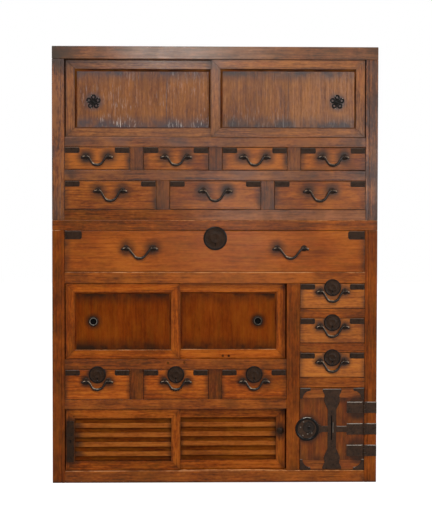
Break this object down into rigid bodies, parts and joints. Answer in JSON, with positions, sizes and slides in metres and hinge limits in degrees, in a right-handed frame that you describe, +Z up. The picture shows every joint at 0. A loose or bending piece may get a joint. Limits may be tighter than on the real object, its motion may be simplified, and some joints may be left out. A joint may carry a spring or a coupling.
{
  "type": "clothing chest",
  "caption": "Two-section wooden clothing chest with sliding doors, drawers on swinging bails, lock plates and a hinged safe door with iron straps.",
  "frame": {"origin": "centre of the base on the floor", "axes": "+Z up, the front faces -Y"},
  "size_m": [1.091, 0.4527, 1.464],
  "materials": {
    "upper_case_wood": "wiped oil, greyed sheen",
    "lower_case_wood": "wiped oil, satin",
    "drawer_wood": "wiped oil, satin",
    "door_wood": "wiped oil, satin",
    "black_iron": "forged, dark satin"
  },
  "bodies": {
    "root": {"lower_case": "lower_case_wood", "upper_case": "upper_case_wood", "case_hinge_leaves": "black_iron"},
    "small_drawer_1": {"small_drawer_1_box": "drawer_wood", "small_drawer_1_ironwork": "black_iron"},
    "small_drawer_1_bail": {"small_drawer_1_bail": "black_iron"},
    "small_drawer_2": {"small_drawer_2_box": "drawer_wood", "small_drawer_2_ironwork": "black_iron"},
    "small_drawer_2_bail": {"small_drawer_2_bail": "black_iron"},
    "small_drawer_3": {"small_drawer_3_box": "drawer_wood", "small_drawer_3_ironwork": "black_iron"},
    "small_drawer_3_bail": {"small_drawer_3_bail": "black_iron"},
    "small_drawer_4": {"small_drawer_4_box": "drawer_wood", "small_drawer_4_ironwork": "black_iron"},
    "small_drawer_4_bail": {"small_drawer_4_bail": "black_iron"},
    "wide_drawer_1": {"wide_drawer_1_box": "drawer_wood", "wide_drawer_1_ironwork": "black_iron"},
    "wide_drawer_1_bail": {"wide_drawer_1_bail": "black_iron"},
    "wide_drawer_2": {"wide_drawer_2_box": "drawer_wood", "wide_drawer_2_ironwork": "black_iron"},
    "wide_drawer_2_bail": {"wide_drawer_2_bail": "black_iron"},
    "wide_drawer_3": {"wide_drawer_3_box": "drawer_wood", "wide_drawer_3_ironwork": "black_iron"},
    "wide_drawer_3_bail": {"wide_drawer_3_bail": "black_iron"},
    "robe_drawer": {"robe_drawer_box": "drawer_wood", "robe_drawer_ironwork": "black_iron"},
    "robe_drawer_left_bail": {"robe_drawer_left_bail": "black_iron"},
    "robe_drawer_right_bail": {"robe_drawer_right_bail": "black_iron"},
    "lock_drawer_1": {"lock_drawer_1_box": "drawer_wood", "lock_drawer_1_ironwork": "black_iron"},
    "lock_drawer_1_bail": {"lock_drawer_1_bail": "black_iron"},
    "lock_drawer_2": {"lock_drawer_2_box": "drawer_wood", "lock_drawer_2_ironwork": "black_iron"},
    "lock_drawer_2_bail": {"lock_drawer_2_bail": "black_iron"},
    "lock_drawer_3": {"lock_drawer_3_box": "drawer_wood", "lock_drawer_3_ironwork": "black_iron"},
    "lock_drawer_3_bail": {"lock_drawer_3_bail": "black_iron"},
    "column_drawer_1": {"column_drawer_1_box": "drawer_wood", "column_drawer_1_ironwork": "black_iron"},
    "column_drawer_1_bail": {"column_drawer_1_bail": "black_iron"},
    "column_drawer_2": {"column_drawer_2_box": "drawer_wood", "column_drawer_2_ironwork": "black_iron"},
    "column_drawer_2_bail": {"column_drawer_2_bail": "black_iron"},
    "column_drawer_3": {"column_drawer_3_box": "drawer_wood", "column_drawer_3_ironwork": "black_iron"},
    "column_drawer_3_bail": {"column_drawer_3_bail": "black_iron"},
    "upper_left_door": {"upper_left_door": "door_wood", "upper_left_pull": "black_iron"},
    "upper_right_door": {"upper_right_door": "door_wood", "upper_right_pull": "black_iron"},
    "panel_left_door": {"panel_left_door": "door_wood", "panel_left_pull": "black_iron"},
    "panel_right_door": {"panel_right_door": "door_wood", "panel_right_pull": "black_iron"},
    "slat_left_door": {"slat_left_door": "door_wood", "slat_left_plate": "black_iron"},
    "slat_right_door": {"slat_right_door": "door_wood", "slat_right_knob": "black_iron"},
    "safe_door": {"safe_door": "door_wood", "safe_door_ironwork": "black_iron"}
  },
  "joints": [
    {"name": "small_drawer_1_slide", "type": "slide", "parent": "root", "child": "small_drawer_1", "axis": [0, -1, 0], "range_m": [0, 0.3]},
    {"name": "small_drawer_1_bail_swing", "type": "hinge", "parent": "small_drawer_1", "child": "small_drawer_1_bail", "pos_m": [-0.39487, -0.2273, 1.0967], "axis": [-1, 0, 0], "range_deg": [0, 95]},
    {"name": "small_drawer_2_slide", "type": "slide", "parent": "root", "child": "small_drawer_2", "axis": [0, -1, 0], "range_m": [0, 0.3]},
    {"name": "small_drawer_2_bail_swing", "type": "hinge", "parent": "small_drawer_2", "child": "small_drawer_2_bail", "pos_m": [-0.13162, -0.2273, 1.0967], "axis": [-1, 0, 0], "range_deg": [0, 95]},
    {"name": "small_drawer_3_slide", "type": "slide", "parent": "root", "child": "small_drawer_3", "axis": [0, -1, 0], "range_m": [0, 0.3]},
    {"name": "small_drawer_3_bail_swing", "type": "hinge", "parent": "small_drawer_3", "child": "small_drawer_3_bail", "pos_m": [0.13162, -0.2273, 1.0967], "axis": [-1, 0, 0], "range_deg": [0, 95]},
    {"name": "small_drawer_4_slide", "type": "slide", "parent": "root", "child": "small_drawer_4", "axis": [0, -1, 0], "range_m": [0, 0.3]},
    {"name": "small_drawer_4_bail_swing", "type": "hinge", "parent": "small_drawer_4", "child": "small_drawer_4_bail", "pos_m": [0.39487, -0.2273, 1.0967], "axis": [-1, 0, 0], "range_deg": [0, 95]},
    {"name": "wide_drawer_1_slide", "type": "slide", "parent": "root", "child": "wide_drawer_1", "axis": [0, -1, 0], "range_m": [0, 0.3]},
    {"name": "wide_drawer_1_bail_swing", "type": "hinge", "parent": "wide_drawer_1", "child": "wide_drawer_1_bail", "pos_m": [-0.351, -0.2273, 0.9832], "axis": [-1, 0, 0], "range_deg": [0, 95]},
    {"name": "wide_drawer_2_slide", "type": "slide", "parent": "root", "child": "wide_drawer_2", "axis": [0, -1, 0], "range_m": [0, 0.3]},
    {"name": "wide_drawer_2_bail_swing", "type": "hinge", "parent": "wide_drawer_2", "child": "wide_drawer_2_bail", "pos_m": [0, -0.2273, 0.9832], "axis": [-1, 0, 0], "range_deg": [0, 95]},
    {"name": "wide_drawer_3_slide", "type": "slide", "parent": "root", "child": "wide_drawer_3", "axis": [0, -1, 0], "range_m": [0, 0.3]},
    {"name": "wide_drawer_3_bail_swing", "type": "hinge", "parent": "wide_drawer_3", "child": "wide_drawer_3_bail", "pos_m": [0.351, -0.2273, 0.9832], "axis": [-1, 0, 0], "range_deg": [0, 95]},
    {"name": "robe_drawer_slide", "type": "slide", "parent": "root", "child": "robe_drawer", "axis": [0, -1, 0], "range_m": [0, 0.3]},
    {"name": "robe_drawer_left_bail_swing", "type": "hinge", "parent": "robe_drawer", "child": "robe_drawer_left_bail", "pos_m": [-0.253, -0.2273, 0.7907], "axis": [-1, 0, 0], "range_deg": [0, 95]},
    {"name": "robe_drawer_right_bail_swing", "type": "hinge", "parent": "robe_drawer", "child": "robe_drawer_right_bail", "pos_m": [0.253, -0.2273, 0.7907], "axis": [-1, 0, 0], "range_deg": [0, 95]},
    {"name": "lock_drawer_1_slide", "type": "slide", "parent": "root", "child": "lock_drawer_1", "axis": [0, -1, 0], "range_m": [0, 0.3]},
    {"name": "lock_drawer_1_bail_swing", "type": "hinge", "parent": "lock_drawer_1", "child": "lock_drawer_1_bail", "pos_m": [-0.39487, -0.2273, 0.3437], "axis": [-1, 0, 0], "range_deg": [0, 95]},
    {"name": "lock_drawer_2_slide", "type": "slide", "parent": "root", "child": "lock_drawer_2", "axis": [0, -1, 0], "range_m": [0, 0.3]},
    {"name": "lock_drawer_2_bail_swing", "type": "hinge", "parent": "lock_drawer_2", "child": "lock_drawer_2_bail", "pos_m": [-0.13162, -0.2273, 0.3437], "axis": [-1, 0, 0], "range_deg": [0, 95]},
    {"name": "lock_drawer_3_slide", "type": "slide", "parent": "root", "child": "lock_drawer_3", "axis": [0, -1, 0], "range_m": [0, 0.3]},
    {"name": "lock_drawer_3_bail_swing", "type": "hinge", "parent": "lock_drawer_3", "child": "lock_drawer_3_bail", "pos_m": [0.13162, -0.2273, 0.3437], "axis": [-1, 0, 0], "range_deg": [0, 95]},
    {"name": "column_drawer_1_slide", "type": "slide", "parent": "root", "child": "column_drawer_1", "axis": [0, -1, 0], "range_m": [0, 0.3]},
    {"name": "column_drawer_1_bail_swing", "type": "hinge", "parent": "column_drawer_1", "child": "column_drawer_1_bail", "pos_m": [0.39487, -0.2273, 0.6457], "axis": [-1, 0, 0], "range_deg": [0, 95]},
    {"name": "column_drawer_2_slide", "type": "slide", "parent": "root", "child": "column_drawer_2", "axis": [0, -1, 0], "range_m": [0, 0.3]},
    {"name": "column_drawer_2_bail_swing", "type": "hinge", "parent": "column_drawer_2", "child": "column_drawer_2_bail", "pos_m": [0.39487, -0.2273, 0.5275], "axis": [-1, 0, 0], "range_deg": [0, 95]},
    {"name": "column_drawer_3_slide", "type": "slide", "parent": "root", "child": "column_drawer_3", "axis": [0, -1, 0], "range_m": [0, 0.3]},
    {"name": "column_drawer_3_bail_swing", "type": "hinge", "parent": "column_drawer_3", "child": "column_drawer_3_bail", "pos_m": [0.39487, -0.2273, 0.4093], "axis": [-1, 0, 0], "range_deg": [0, 95]},
    {"name": "upper_left_door_slide", "type": "slide", "parent": "root", "child": "upper_left_door", "axis": [1, 0, 0], "range_m": [0, 0.4871]},
    {"name": "upper_right_door_slide", "type": "slide", "parent": "root", "child": "upper_right_door", "axis": [-1, 0, 0], "range_m": [0, 0.4871]},
    {"name": "panel_left_door_slide", "type": "slide", "parent": "root", "child": "panel_left_door", "axis": [1, 0, 0], "range_m": [0, 0.3555]},
    {"name": "panel_right_door_slide", "type": "slide", "parent": "root", "child": "panel_right_door", "axis": [-1, 0, 0], "range_m": [0, 0.3555]},
    {"name": "slat_left_door_slide", "type": "slide", "parent": "root", "child": "slat_left_door", "axis": [1, 0, 0], "range_m": [0, 0.354]},
    {"name": "slat_right_door_slide", "type": "slide", "parent": "root", "child": "slat_right_door", "axis": [-1, 0, 0], "range_m": [0, 0.354]},
    {"name": "safe_door_hinge", "type": "hinge", "parent": "root", "child": "safe_door", "pos_m": [0.5045, -0.2243, 0.18105], "axis": [0, 0, 1], "range_deg": [0, 170]}
  ]
}
